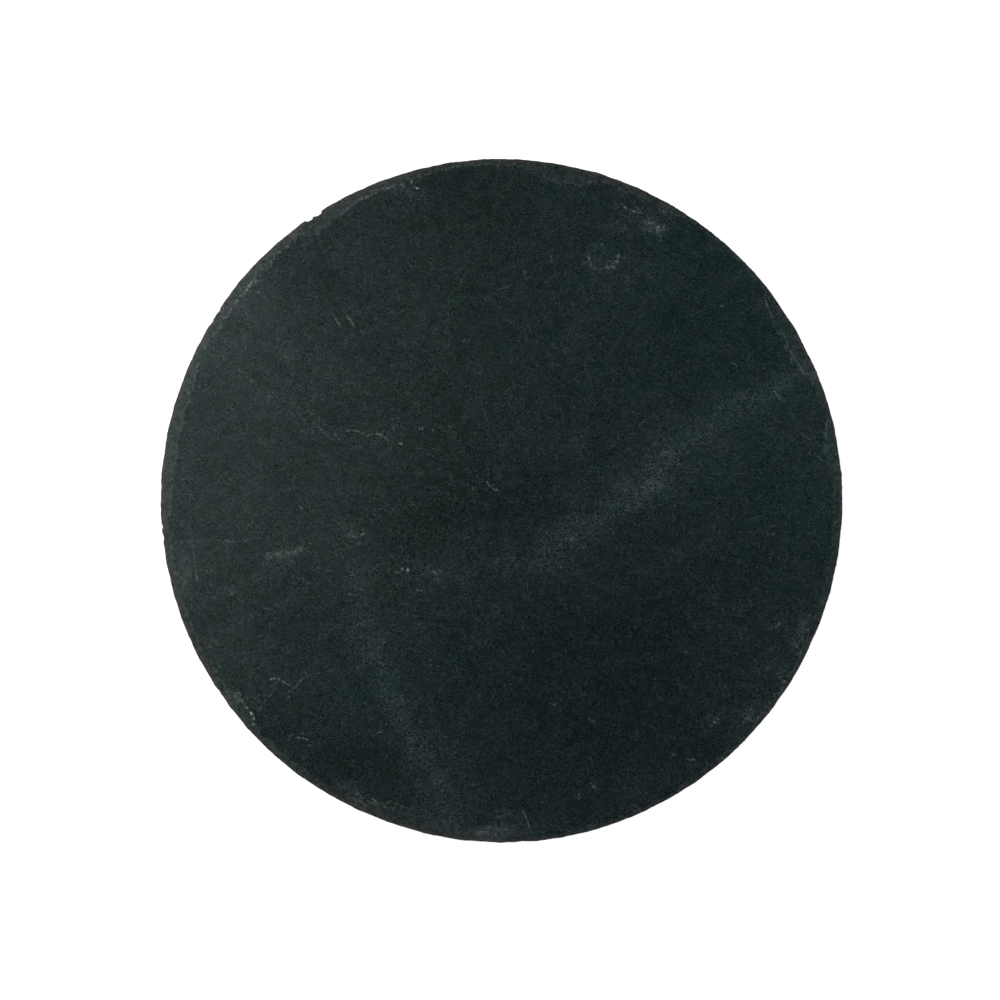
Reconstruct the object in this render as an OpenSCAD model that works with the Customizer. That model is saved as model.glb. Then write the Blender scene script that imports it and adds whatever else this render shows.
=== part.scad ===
// Round serving board of riven slate with a hand-chiselled edge, on four stick-on rubber feet.
// The feet stand on Z = 0, and the board's centre is over X = Y = 0.

/* [Slate] */
// Diameter of the board
board_d = 300; // [240:5:400]
// Thickness of the slate
slate_t = 6; // [5:0.5:10]

/* [Chiselled edge] */
// Width of a full chip, seen from above
chip_w = 5; // [4:0.25:7]
// Height of plain edge that the deepest chip leaves below it
edge_land = 1.5; // [1:0.25:2.5]
// Width of a full chip on the underside
under_chip_w = 3; // [2.5:0.25:5]
// Deepest nick in the outline
nick_depth = 1.2; // [0.5:0.1:2]
// Radius of the tool that leaves a nick
nick_r = 6; // [4:0.5:12]
// Thickness of the thin flakes that split away behind the chips
flake_t = 0.4; // [0.2:0.05:0.8]

/* [Feet] */
// Diameter of a foot where it sticks to the slate
foot_top_d = 14; // [12:0.5:20]
// Diameter of a foot where it stands, before its edge is rounded
foot_base_d = 11; // [8:0.5:12]
// Height of a foot
foot_t = 3; // [2:0.25:6]
// Radius of the foot's lower edge
foot_edge_r = 0.8; // [0.3:0.1:1.5]
// Distance from the board's edge to the middle of a foot
foot_inset = 30; // [20:1:60]
// Direction of the first foot, seen from above
foot_angle = 45; // [0:5:85]

/* [Adhesive] */
// Thickness of the adhesive film between a foot and the slate
adhesive_t = 0.3; // [0.1:0.05:0.6]
// How far the film stays inside the foot's rim
adhesive_margin = 0.5; // [0.2:0.1:1]

/* [Hidden] */
foot_count = 4;
$fn = 96;
// Facets of a foot's rounded edge
foot_edge_steps = 6;
// How far a cutting shape runs past the face that it cuts
overrun = 1;

board_r = board_d / 2;
// Depth of a full chip at the rim
chip_drop = slate_t - edge_land;
// The slate's lower face lies on the adhesive, which lies on the feet
slate_bottom = foot_t + adhesive_t;
slate_top = slate_bottom + slate_t;
foot_place_r = board_r - foot_inset;
adhesive_r = foot_top_d / 2 - adhesive_margin;

// Chips along the upper edge, anticlockwise from +X: the direction of the chip's middle and half the
// angle that it spans, then its width as a share of chip_w and its depth as a share of chip_drop
chip_shares = [
    [1, 5.6, 0.8, 0.7], [8.3, 5.2, 1.25, 0.85], [15.2, 4.6, 0.75, 0.7], [20.5, 4, 0.7, 0.6],
    [26.3, 5.2, 1.5, 0.95], [33.6, 5.2, 1.42, 0.9], [40.8, 4, 0.42, 0.5], [46, 4.4, 0.36, 0.45],
    [52, 4.4, 0.36, 0.5], [57.5, 4.2, 0.45, 0.55], [63, 5, 0.66, 0.7], [69.6, 5, 0.62, 0.7],
    [78.4, 5.4, 1.58, 0.95], [84, 4.2, 1.25, 0.85], [90, 4.4, 0.6, 0.6], [95.8, 4.6, 0.62, 0.65],
    [101.8, 4.8, 0.7, 0.7], [107.8, 5, 0.86, 0.8], [113.8, 5, 0.86, 0.8], [118.8, 3.6, 1, 0.8],
    [123, 4, 1.42, 1], [128.6, 4, 0.85, 0.8], [133.2, 4, 0.95, 0.85], [137.8, 4, 0.98, 0.9],
    [142.4, 4, 0.95, 0.85], [147, 4, 0.95, 0.9], [151.4, 3.6, 0.68, 0.7], [155.6, 4, 0.85, 0.8],
    [160.6, 4.6, 1.2, 0.95], [166, 5.2, 1.2, 0.9], [171.8, 5.2, 1.18, 0.95], [177.6, 5.2, 1.15, 0.85],
    [183.4, 4.2, 0.8, 0.8], [188, 4.2, 1.05, 0.85], [192.8, 4.2, 1.1, 0.9], [198, 4.6, 0.85, 0.75],
    [203.8, 5, 0.75, 0.7], [210, 5, 0.7, 0.7], [215.4, 3.4, 1.05, 0.85], [219.4, 3.4, 1.25, 0.9],
    [224.6, 4.6, 0.76, 0.7], [230.6, 5, 0.65, 0.7], [236.6, 5, 0.62, 0.65], [242.4, 4.8, 0.72, 0.7],
    [248, 4, 1.1, 0.8], [253.6, 5, 1.2, 0.85], [260, 5, 0.9, 0.75], [266.8, 4, 1.35, 0.9],
    [272.6, 4, 1.2, 0.85], [278, 4.2, 0.4, 0.5], [283.6, 4.4, 0.32, 0.4], [289.4, 4.6, 0.32, 0.45],
    [295.4, 4.6, 0.34, 0.4], [301.4, 4.6, 0.42, 0.5], [307.2, 4.6, 0.55, 0.6], [312.6, 4.4, 0.45, 0.5],
    [318.6, 4.6, 0.8, 0.7], [324.6, 4.6, 0.5, 0.55], [330, 4.4, 0.45, 0.5], [335.6, 4.8, 0.85, 0.75],
    [341.6, 4.8, 0.55, 0.6], [347.6, 4.8, 0.62, 0.65], [353.8, 5, 0.8, 0.7]
];

// Chips along the lower edge, in the same form: width as a share of under_chip_w, depth of edge_land
under_chip_shares = [
    [12, 4, 0.8, 0.5], [37, 3.4, 0.6, 0.4], [58, 4.4, 1, 0.6], [83, 3.6, 0.7, 0.5],
    [110, 4, 0.9, 0.6], [139, 4.4, 1, 0.55], [163, 3.6, 0.7, 0.4], [196, 4.4, 1, 0.6],
    [221, 3.4, 0.6, 0.5], [247, 4, 0.8, 0.55], [281, 4.4, 0.9, 0.5], [309, 3.6, 0.7, 0.45],
    [338, 4.2, 0.9, 0.6]
];

// Nicks in the outline: direction, radius as a share of nick_r and depth as a share of nick_depth
nick_shares = [
    [122.6, 1, 0.8], [124.2, 0.7, 1], [147.4, 0.5, 0.3], [149.6, 0.5, 0.35],
    [184.4, 0.7, 0.45], [186.4, 0.8, 0.4], [193.4, 1, 0.35]
];

// Thin flakes lost behind the chips, as outlines of a direction and a share of the board's radius
flake_shares = [
    [[186.4, 1.02], [187, 0.914], [190.5, 0.909], [193, 0.913], [195, 0.921], [195.4, 1.02]],
    [[249, 1.02], [250, 0.95], [253, 0.944], [257, 0.938], [261, 0.946], [263, 1.02]],
    [[264.6, 1.02], [265, 0.951], [268.6, 0.949], [269.4, 1.02]],
    [[331, 1.02], [332, 0.955], [335, 0.944], [338, 0.952], [339, 1.02]]
];

// Radius of the circle that a ball cuts in a face when it bites bite_w in from the rim at its middle
// and meets the rim half_span to either side
function ring_r(bite_w, half_span) =
    (pow(board_r, 2) + pow(board_r - bite_w, 2) - 2 * board_r * (board_r - bite_w) * cos(half_span))
    / (2 * (board_r * cos(half_span) - board_r + bite_w));

// Height of that ball's centre above the face when it leaves the rim drop below the face
function ball_rise(ring, bite_w, drop) =
    (2 * ring * bite_w - pow(bite_w, 2) - pow(drop, 2)) / (2 * drop);

// Points of an outline given as directions and shares of the board's radius
function polar_points(outline) =
    [for (p = outline) board_r * p[1] * [cos(p[0]), sin(p[0])]];

// Ball that takes one chip off an upper edge in the plane Z = 0
module chip_ball(direction, half_span, bite_w, drop) {
    ring = ring_r(bite_w, half_span);
    rise = ball_rise(ring, bite_w, drop);
    rotate([0, 0, direction])
        translate([board_r - bite_w + ring, 0, rise])
            sphere(r = norm([ring, rise]));
}

module upper_chips() {
    translate([0, 0, slate_top])
        for (c = chip_shares)
            chip_ball(c[0], c[1], c[2] * chip_w, c[3] * chip_drop);
}

module lower_chips() {
    translate([0, 0, slate_bottom])
        mirror([0, 0, 1])
            for (c = under_chip_shares)
                chip_ball(c[0], c[1], c[2] * under_chip_w, c[3] * edge_land);
}

module nicks() {
    for (n = nick_shares)
        rotate([0, 0, n[0]])
            translate([board_r - n[2] * nick_depth + n[1] * nick_r, 0, slate_bottom - overrun])
                cylinder(r = n[1] * nick_r, h = slate_t + 2 * overrun);
}

module flakes() {
    translate([0, 0, slate_top - flake_t])
        for (outline = flake_shares)
            linear_extrude(height = flake_t + overrun)
                polygon(polar_points(outline));
}

module slate_board() {
    color([0.16, 0.2, 0.2])
        difference() {
            translate([0, 0, slate_bottom])
                cylinder(r = board_r, h = slate_t);
            upper_chips();
            lower_chips();
            nicks();
            flakes();
        }
}

// Half section of a foot: it tapers down to its base, and an arc rounds the edge that it stands on
module foot_section() {
    taper = atan((foot_top_d - foot_base_d) / 2 / foot_t);
    arc_x = foot_base_d / 2 - foot_edge_r * (1 - sin(taper)) / cos(taper);
    arc_turn = 90 - taper;
    arc_points = [
        for (i = [0 : foot_edge_steps])
            let (a = -90 + arc_turn * i / foot_edge_steps)
                [arc_x + foot_edge_r * cos(a), foot_edge_r + foot_edge_r * sin(a)]
    ];
    polygon(concat([[0, 0]], arc_points, [[foot_top_d / 2, foot_t], [0, foot_t]]));
}

module foot(index) {
    color([0.06, 0.06, 0.06])
        rotate([0, 0, foot_angle + index * 360 / foot_count])
            translate([foot_place_r, 0, 0])
                rotate_extrude()
                    foot_section();
}

module foot_adhesive(index) {
    color([0.75, 0.74, 0.7])
        rotate([0, 0, foot_angle + index * 360 / foot_count])
            translate([foot_place_r, 0, foot_t])
                cylinder(r = adhesive_r, h = adhesive_t);
}

slate_board();
foot(0);  // foot_1
foot(1);  // foot_2
foot(2);  // foot_3
foot(3);  // foot_4
foot_adhesive(0);  // foot_adhesive_1
foot_adhesive(1);  // foot_adhesive_2
foot_adhesive(2);  // foot_adhesive_3
foot_adhesive(3);  // foot_adhesive_4
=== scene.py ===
import math
import bpy
import numpy as np
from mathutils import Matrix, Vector


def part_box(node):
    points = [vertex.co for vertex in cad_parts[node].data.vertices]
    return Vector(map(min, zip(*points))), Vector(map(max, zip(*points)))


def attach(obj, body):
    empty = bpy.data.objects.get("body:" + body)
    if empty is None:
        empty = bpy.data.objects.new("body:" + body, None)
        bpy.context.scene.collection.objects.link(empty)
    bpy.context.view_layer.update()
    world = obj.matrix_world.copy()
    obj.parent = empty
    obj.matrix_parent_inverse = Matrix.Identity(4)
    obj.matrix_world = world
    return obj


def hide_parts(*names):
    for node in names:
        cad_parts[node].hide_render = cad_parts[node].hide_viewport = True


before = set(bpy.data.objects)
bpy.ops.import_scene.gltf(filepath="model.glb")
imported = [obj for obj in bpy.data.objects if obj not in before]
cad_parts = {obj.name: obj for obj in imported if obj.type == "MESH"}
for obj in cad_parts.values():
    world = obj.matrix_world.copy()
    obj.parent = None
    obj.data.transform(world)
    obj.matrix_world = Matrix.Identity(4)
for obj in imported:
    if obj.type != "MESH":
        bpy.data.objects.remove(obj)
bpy.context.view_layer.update()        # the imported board: slate, feet and adhesive films

# The board's sizes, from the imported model, in metres
slateLow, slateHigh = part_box("slate_board")
boardRadius = (slateHigh.x - slateLow.x) / 2
slateTop = slateHigh.z
slateBottom = slateLow.z
slateThick = slateTop - slateBottom
mm = 0.001
footNames = ["foot_1", "foot_2", "foot_3", "foot_4"]
filmNames = ["foot_adhesive_1", "foot_adhesive_2", "foot_adhesive_3", "foot_adhesive_4"]

# Where the board lies in the photo, in pixels of its 1000 x 1000 frame
photo = {
    "frameWidth": 1000,
    "centreX": 501.2,
    "centreY": 500.4,
    "boardAcross": 683.4,
}
metresPerPixel = 2 * boardRadius / photo["boardAcross"]


def boxMiddle(name):
    low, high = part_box(name)
    return (low.x + high.x) / 2, (low.y + high.y) / 2


def photoPoint(px, py):
    # metres from the board's middle: right is +X, up in the photo is +Y
    return (px - photo["centreX"]) * metresPerPixel, (photo["centreY"] - py) * metresPerPixel


def cloud(points, grain, seed):
    # Smooth field from 0 to 1: random numbers on a cubic lattice of that grain,
    # blended between its corners by 3t^2 - 2t^3
    values = np.random.default_rng(seed).random((32, 32, 32))
    cell = points / grain
    low = np.floor(cell).astype(int)
    part = cell - low
    part = part * part * (3 - 2 * part)
    total = np.zeros(points.shape[:-1])
    for corner in range(8):
        step = np.array([corner & 1, corner >> 1 & 1, corner >> 2 & 1])
        weight = np.prod(np.where(step, part, 1 - part), axis=-1)
        i, j, k = np.moveaxis((low + step) % 32, -1, 0)
        total += weight * values[i, j, k]
    return total


def roughCloud(points, grain, octaves, seed):
    # Sum of clouds, each half as coarse and half as strong as the one before, scaled back to 0 to 1
    total = sum(cloud(points, grain / 2**n, seed + n) / 2**n for n in range(octaves))
    return total / sum(1 / 2**n for n in range(octaves))


def swingField(points, grain, swing, octaves, seed):
    # the rough cloud made a swing about 0, from end to end as large as swing
    return (roughCloud(points, grain, octaves, seed) - 0.5) * swing


def facetField(x, y, grain, seed):
    # Split stone: each point takes the random slope of its nearest seed point,
    # so the field is made of small flat facets, from about -1 to 1
    rng = np.random.default_rng(seed)
    jitter = rng.random((64, 64, 2))
    slopes = rng.uniform(-1, 1, (64, 64, 2))
    cellX = np.floor(x / grain).astype(int)
    cellY = np.floor(y / grain).astype(int)
    nearest = np.full(x.shape, np.inf)
    height = np.zeros(x.shape)
    for stepX in (-1, 0, 1):
        for stepY in (-1, 0, 1):
            i = (cellX + stepX) % 64
            j = (cellY + stepY) % 64
            awayX = x / grain - (cellX + stepX + jitter[i, j, 0])
            awayY = y / grain - (cellY + stepY + jitter[i, j, 1])
            away = awayX**2 + awayY**2
            closer = away < nearest
            nearest = np.where(closer, away, nearest)
            rise = awayX * slopes[i, j, 0] + awayY * slopes[i, j, 1]
            height = np.where(closer, rise, height)
    return height


def smoothStep(low, high, value):
    # 0 below low, 1 above high, and 3t^2 - 2t^3 between them
    t = np.clip((value - low) / (high - low), 0, 1)
    return t * t * (3 - 2 * t)


def onPlane(x, y):
    return np.stack([x, y, 0 * x], -1)


def ringPoints(radius, z, turn):
    # points at that radius and height, in the directions of turn
    return np.stack([radius * np.cos(turn), radius * np.sin(turn), z + 0 * turn], -1)


def aroundRim(table, direction):
    # value at each direction in degrees, by straight lines between the rows (direction, value)
    rows = np.array(table, float)
    return np.interp(direction % 360, rows[:, 0], rows[:, 1], period=360)


def addMesh(name, points, faces):
    mesh = bpy.data.meshes.new(name)
    mesh.from_pydata(points.tolist(), [], faces)
    mesh.polygons.foreach_set("use_smooth", np.ones(len(mesh.polygons), bool))
    mesh.update()
    piece = bpy.data.objects.new(name, mesh)
    bpy.context.scene.collection.objects.link(piece)
    return piece


def setAttribute(piece, name, values):
    piece.data.attributes.new(name, "FLOAT", "POINT").data.foreach_set("value", values.astype(np.float32))


def sharpenRing(piece, onRing):
    # edges whose two ends both lie on a marked ring keep a hard crease
    mesh = piece.data
    ends = np.empty(len(mesh.edges) * 2, np.int32)
    mesh.edges.foreach_get("vertices", ends)
    hard = onRing[ends.reshape(-1, 2)].all(axis=1)
    mesh.attributes.new("sharp_edge", "BOOLEAN", "EDGE").data.foreach_set("value", hard)


def addNode(tree, kind, inputs, **settings):
    # one shader node: inputs are its sockets by name or number, each a value or a link
    made = tree.nodes.new(kind)
    for name, value in settings.items():
        setattr(made, name, value)
    for name, value in inputs.items():
        if isinstance(value, bpy.types.NodeSocket):
            tree.links.new(value, made.inputs[name])
        else:
            made.inputs[name].default_value = value
    return made


def calc(tree, operation, *values):
    return addNode(tree, "ShaderNodeMath", dict(enumerate(values)), operation=operation).outputs[0]


def times(tree, first, second):
    return calc(tree, "MULTIPLY", first, second)


def timesPlus(tree, first, second, third):
    # first * second + third
    return calc(tree, "MULTIPLY_ADD", first, second, third)


def centred(tree, noise, swing):
    # noise from 0 to 1 made a swing about 0
    return timesPlus(tree, noise, swing, -0.5 * swing)


def calcVector(tree, operation, *values):
    made = addNode(tree, "ShaderNodeVectorMath", dict(enumerate(values)), operation=operation)
    return made.outputs["Value" if operation in ("LENGTH", "DISTANCE", "DOT_PRODUCT") else "Vector"]


def fade(tree, value, low, high, start=0.0, end=1.0):
    # smooth change from start to end while the value goes from low to high
    inputs = {"Value": value, "From Min": low, "From Max": high, "To Min": start, "To Max": end}
    return addNode(tree, "ShaderNodeMapRange", inputs, interpolation_type="SMOOTHSTEP").outputs[0]


def blend(tree, share, first, second):
    # colours as three numbers or links: share 0 gives the first and 1 the second
    colours = [c if isinstance(c, bpy.types.NodeSocket) else (*c, 1) for c in (first, second)]
    inputs = {0: share, 6: colours[0], 7: colours[1]}
    return addNode(tree, "ShaderNodeMix", inputs, data_type="RGBA").outputs[2]


def lumps(tree, place, grain, detail=2.0, rough=0.5, distort=0.0, colour=False):
    # noise whose coarsest lumps are about as large as the grain, mostly from 0.3 to 0.7
    inputs = {"Vector": place, "Scale": 1 / grain, "Detail": detail, "Roughness": rough}
    inputs["Distortion"] = distort
    return addNode(tree, "ShaderNodeTexNoise", inputs).outputs[1 if colour else 0]


def readAttribute(tree, name):
    return addNode(tree, "ShaderNodeAttribute", {}, attribute_name=name).outputs["Fac"]


def newMaterial(name):
    material = bpy.data.materials.new(name)
    material.use_nodes = True
    tree = material.node_tree
    place = addNode(tree, "ShaderNodeTexCoord", {}).outputs["Object"]
    return material, tree, tree.nodes["Principled BSDF"], place


def dress(tree, shader, colour, rough, relief, strength=1.0, distance=1.0):
    # joins colour, roughness and a bump of that relief to the shader
    tree.links.new(colour, shader.inputs["Base Color"])
    tree.links.new(rough, shader.inputs["Roughness"])
    bump = addNode(tree, "ShaderNodeBump", {"Height": relief, "Strength": strength, "Distance": distance})
    tree.links.new(bump.outputs[0], shader.inputs["Normal"])


# Camera: straight above the board, as in the photo
cameraLook = {
    "lens": 85,            # mm
    "sensor": 36,          # mm
    "shiftRightPx": -1.4,  # moves the camera so that the board lands where the photo has it
    "shiftUpPx": 0.8,
    "widestShare": 0.4,    # how far up the slate's edge its outline is widest
}


def addCamera(look):
    # distance = lens * width seen / sensor width, measured from the level where the outline is widest
    seen = photo["frameWidth"] * metresPerPixel
    widestLevel = slateBottom + look["widestShare"] * slateThick
    data = bpy.data.cameras.new("topCamera")
    data.lens = look["lens"]
    data.sensor_width = look["sensor"]
    data.clip_end = 20
    camera = bpy.data.objects.new("topCamera", data)
    camera.location = (
        look["shiftRightPx"] * metresPerPixel,
        look["shiftUpPx"] * metresPerPixel,
        widestLevel + look["lens"] * seen / look["sensor"],
    )
    bpy.context.scene.collection.objects.link(camera)
    bpy.context.scene.camera = camera


addCamera(cameraLook)
print("camera placed")


# Slate: riven faces and a chipped edge.
# Chips along the upper edge: direction of the middle and half the angle spanned, in degrees,
# then width as a share of chipWidth and depth as a share of chipDepth
chipShares = [
    (1, 5.6, 0.8, 0.7), (8.3, 5.2, 1.25, 0.85), (15.2, 4.6, 0.75, 0.7), (20.5, 4, 0.7, 0.6),
    (26.3, 5.2, 1.5, 0.95), (33.6, 5.2, 1.42, 0.9), (40.8, 4, 0.42, 0.5), (46, 4.4, 0.36, 0.45),
    (52, 4.4, 0.36, 0.5), (57.5, 4.2, 0.45, 0.55), (63, 5, 0.66, 0.7), (69.6, 5, 0.62, 0.7),
    (78.4, 5.4, 1.58, 0.95), (84, 4.2, 1.25, 0.85), (90, 4.4, 0.6, 0.6), (95.8, 4.6, 0.62, 0.65),
    (101.8, 4.8, 0.7, 0.7), (107.8, 5, 0.86, 0.8), (113.8, 5, 0.86, 0.8), (118.8, 3.6, 1, 0.8),
    (123, 4, 1.42, 1), (128.6, 4, 0.85, 0.8), (133.2, 4, 0.95, 0.85), (137.8, 4, 0.98, 0.9),
    (142.4, 4, 0.95, 0.85), (147, 4, 0.95, 0.9), (151.4, 3.6, 0.68, 0.7), (155.6, 4, 0.85, 0.8),
    (160.6, 4.6, 1.2, 0.95), (166, 5.2, 1.2, 0.9), (171.8, 5.2, 1.18, 0.95), (177.6, 5.2, 1.15, 0.85),
    (183.4, 4.2, 0.8, 0.8), (188, 4.2, 1.05, 0.85), (192.8, 4.2, 1.1, 0.9), (198, 4.6, 0.85, 0.75),
    (203.8, 5, 0.75, 0.7), (210, 5, 0.7, 0.7), (215.4, 3.4, 1.05, 0.85), (219.4, 3.4, 1.25, 0.9),
    (224.6, 4.6, 0.76, 0.7), (230.6, 5, 0.65, 0.7), (236.6, 5, 0.62, 0.65), (242.4, 4.8, 0.72, 0.7),
    (248, 4, 1.1, 0.8), (253.6, 5, 1.2, 0.85), (260, 5, 0.9, 0.75), (266.8, 4, 1.35, 0.9),
    (272.6, 4, 1.2, 0.85), (278, 4.2, 0.4, 0.5), (283.6, 4.4, 0.32, 0.4), (289.4, 4.6, 0.32, 0.45),
    (295.4, 4.6, 0.34, 0.4), (301.4, 4.6, 0.42, 0.5), (307.2, 4.6, 0.55, 0.6), (312.6, 4.4, 0.45, 0.5),
    (318.6, 4.6, 0.8, 0.7), (324.6, 4.6, 0.5, 0.55), (330, 4.4, 0.45, 0.5), (335.6, 4.8, 0.85, 0.75),
    (341.6, 4.8, 0.55, 0.6), (347.6, 4.8, 0.62, 0.65), (353.8, 5, 0.8, 0.7),
]
# Chips along the lower edge, in the same form
underChipShares = [
    (12, 4, 0.8, 0.5), (37, 3.4, 0.6, 0.4), (58, 4.4, 1, 0.6), (83, 3.6, 0.7, 0.5),
    (110, 4, 0.9, 0.6), (139, 4.4, 1, 0.55), (163, 3.6, 0.7, 0.4), (196, 4.4, 1, 0.6),
    (221, 3.4, 0.6, 0.5), (247, 4, 0.8, 0.55), (281, 4.4, 0.9, 0.5), (309, 3.6, 0.7, 0.45),
    (338, 4.2, 0.9, 0.6),
]
slate = {
    "gridCells": 128,          # cells across the serving face, a power of two
    "gridShare": 0.86,         # of the radius, as far as the grid of each face goes
    # rings around the grids: share of the radius, and how many columns apart their points are
    "faceRings": [(0.87, 2), (0.88, 1)],
    "underRings": [(0.95, 1), (0.94, 2), (0.92, 4), (0.88, 8)],
    "ringCounts": {"face": 8, "band": 11, "wall": 6, "underBand": 3},
    "chipWidth": 5 * mm,
    "chipDepth": 0.75,         # of the thickness
    "underChipWidth": 3 * mm,
    "underChipDepth": 0.25,    # of the thickness
    "smallChips": 240,         # little spalls between the big ones
    "underSmallChips": 90,
    "smallHalf": (0.5, 2.2),    # half the angle that a spall spans, in degrees
    "smallWidth": (0.15, 0.6),  # its width as a share of half its length
    "smallDepth": (0.4, 1.1),   # its depth as a share of its width
    "arrisRound": 0.5 * mm,    # least wear of the upper arris
    "underRound": 0.35 * mm,   # and of the lower one
    "chipReach": 11 * mm,      # how far in from the rim a chip may begin
    "underReach": 6 * mm,
    "reachSteps": 45,          # places looked at along that reach
    "leastCut": 0.01 * mm,     # a chip begins where it is this deep
    "gapsToArris": (1.1 * mm, 0.4 * mm),    # how far inside it the last two rings of the face lie
    "bruiseAndHighlightShares": (0.25, 1, 0.5, 0),      # of the crushed line and its painted highlight, on the rings from there outward
    "leastWall": 0.3 * mm,     # least height of the broken wall below the chips
    "biteWander": (3.2 * mm, 1.8 * mm),     # grain and swing by which the bites' edges wander
    "coarseFacets": (2.6 * mm, 0.26 * mm),  # grain and height of the facets of the broken edge
    "fineFacets": (1.2 * mm, 0.2 * mm),
    "facetStart": 0.5 * mm,    # they are in full where the bite is this deep
    "layer": 0.6 * mm,         # thickness of the cleavage layers that show in the broken edge
    "layerBend": 9 * mm,       # grain by which those layers bend
    "layerShare": 0.6,         # how far the broken edge follows them
    "faceWave": (0.16 * mm, 70 * mm),       # height and length of the riven face's long waves
    "faceStep": (0.1 * mm, 60 * mm),        # and of its thin steps
    "faceSteps": 6,
    "flakeThick": 0.4 * mm,
    "flakeWander": (4 * mm, 0.012),   # grain and swing of a flake's inner line, as a share of the radius
    "flakeStep": 0.0015,       # half the width of the step there, as a share of the radius
    "wallHollows": ((5 * mm, 0.8 * mm), (1.5 * mm, 0.15 * mm)),   # grain and depth, coarse and fine
    "wallFlat": 9,             # how much flatter than wide the hollows of the wall are
    "outlineGrain": 3 * mm,
    "outlineRoughPx": 0.9,     # fine roughness of the outline, in photo pixels
    "outlineEasePx": 0.3,      # how far the outline is let out again for it
    "bandWander": ((5 * mm, 5), (1.3 * mm, 2.4)),   # grain, and swing in photo pixels, of the band's width
    "leastBandPx": 2,
    "footPad": 9 * mm,         # the underside is flat this far around each foot's middle
    # how far the outline lies inside the board's circle, in photo pixels, by direction
    "outlineInPx": [
        (0, 0.8), (10, 1), (20, 1.5), (30, 1.6), (50, 1.7), (60, 1), (70, 0.5), (80, 0), (140, 0),
        (150, 1.3), (160, 1.3), (170, 1), (180, 1), (190, 1.3), (200, 1.4), (210, 1.2), (220, 1),
        (230, 0.9), (240, 1.6), (250, 1.3), (260, 0.5), (270, 0), (280, 0.4), (290, 0.6), (310, 0.4),
        (320, 0.6), (330, 0.9), (340, 1.2), (350, 1.1),
    ],
    # nicks in the outline: direction, half the angle spanned, depth in photo pixels
    "nicks": [
        (122.4, 0.6, 2.2), (123.1, 0.4, 1.6), (124.3, 0.8, 2.4), (146, 0.5, 0.8), (148.4, 0.6, 0.6),
        (184.3, 0.5, 0.9), (186.2, 0.7, 0.9), (214, 0.4, 0.5), (64, 0.4, 0.6),
    ],
    # thin flakes lost behind the chips: directions and the share of the radius where each begins
    "flakeShares": [
        [(186.4, 0.93), (187, 0.914), (190.5, 0.909), (193, 0.913), (195, 0.921), (195.4, 0.94)],
        [(249, 0.96), (250, 0.95), (253, 0.944), (257, 0.938), (261, 0.946), (263, 0.96)],
        [(264.6, 0.96), (265, 0.951), (268.6, 0.949), (269.4, 0.96)],
        [(331, 0.97), (332, 0.955), (335, 0.944), (338, 0.952), (339, 0.97)],
    ],
    # width of the chipped band as the photo shows it, in pixels, by direction
    "bandPx": [
        (0, 9), (4, 9), (6, 12), (7, 14), (10, 12), (12, 11), (14, 7), (17, 8), (22, 8), (23, 13),
        (25, 17), (28, 19), (31, 17.5), (34, 18), (36, 15), (37, 9), (38.5, 4), (45, 3.5), (52, 4),
        (58, 5), (60, 6), (66, 7.5), (73, 7), (74, 10), (75, 16), (77, 17), (80, 18), (82, 16), (84, 14),
        (86, 10), (88, 6), (98, 6.5), (105, 8), (111, 9.5), (115, 10.5), (118, 13.5), (121, 15.5),
        (126, 15.5), (127, 9), (130, 10), (150, 10.5), (151, 7), (153.5, 7), (155, 9), (162, 13),
        (170, 13), (182, 12), (183, 8.5), (195, 8), (205, 8), (215, 9), (216, 14), (221, 14), (222, 8),
        (230, 7), (240, 7.5), (246, 9), (247, 15), (250, 20), (256, 21), (262, 18), (264, 10), (265, 16),
        (269, 16), (275, 12), (276, 4), (300, 3.5), (306, 5), (317, 7), (325, 5), (332, 6), (338, 7),
        (345, 8), (352, 7),
    ],
    # how pale the crushed line along the inner side of the chips is, by direction; a painted highlight
    # where the arris catches the light is part of it, strongest on the upper left
    "bruiseAndHighlightByDirection": [
        (0, 0), (6, 0.1), (8, 0), (11, 0), (13, 0.15), (14, 0.1), (22, 0.1), (23, 0.2), (25, 0.2),
        (30, 0.1), (33, 0.1), (34, 0.2), (38, 0.2), (39.5, 0.1), (60, 0.1), (73, 0.1), (75, 0.3),
        (80, 0.2), (87, 0.2), (93, 0.1), (95, 0.4), (100, 0.4), (101, 0.2), (105, 0.3), (108, 0.3),
        (112, 0.3), (118, 0.3), (120, 0.2), (121, 0), (126, 0), (127, 0.2), (131, 0.5), (134, 0.9),
        (142, 0.9), (148, 0.4), (155, 0.4), (161, 0.3), (163, 0.2), (182, 0.1), (196, 0.1), (216, 0.3),
        (219, 0.6), (220, 0.7), (222, 0.5), (223, 0.1), (243, 0.1), (251, 0.1), (260, 0.1), (273, 0.1),
        (275, 0), (300, 0), (306, 0.2), (318, 0.3), (332, 0.3), (338, 0.2), (340, 0.1), (356, 0.2),
        (358, 0.1),
    ],
    # levels by which the broken edge is paler than the stone's own colour, by direction. The large values
    # on the left, from about 120 to 220 degrees, are painted light on the side that faces the light from
    # the left, and the smallest, at the lower right, painted shade
    "edgeLightAndToneByDirection": [
        (0, 11), (15, 15), (30, 11), (45, 3), (60, 9), (75, 11), (90, 12), (105, 18), (118, 27),
        (121, 22), (126, 22), (129, 30), (135, 31), (150, 35), (165, 32), (180, 32), (195, 25),
        (210, 18), (221, 19), (228, 14), (240, 9), (255, 9), (270, 11), (285, 2), (300, -2), (315, 3),
        (330, 9), (345, 4),
    ],
}


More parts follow.
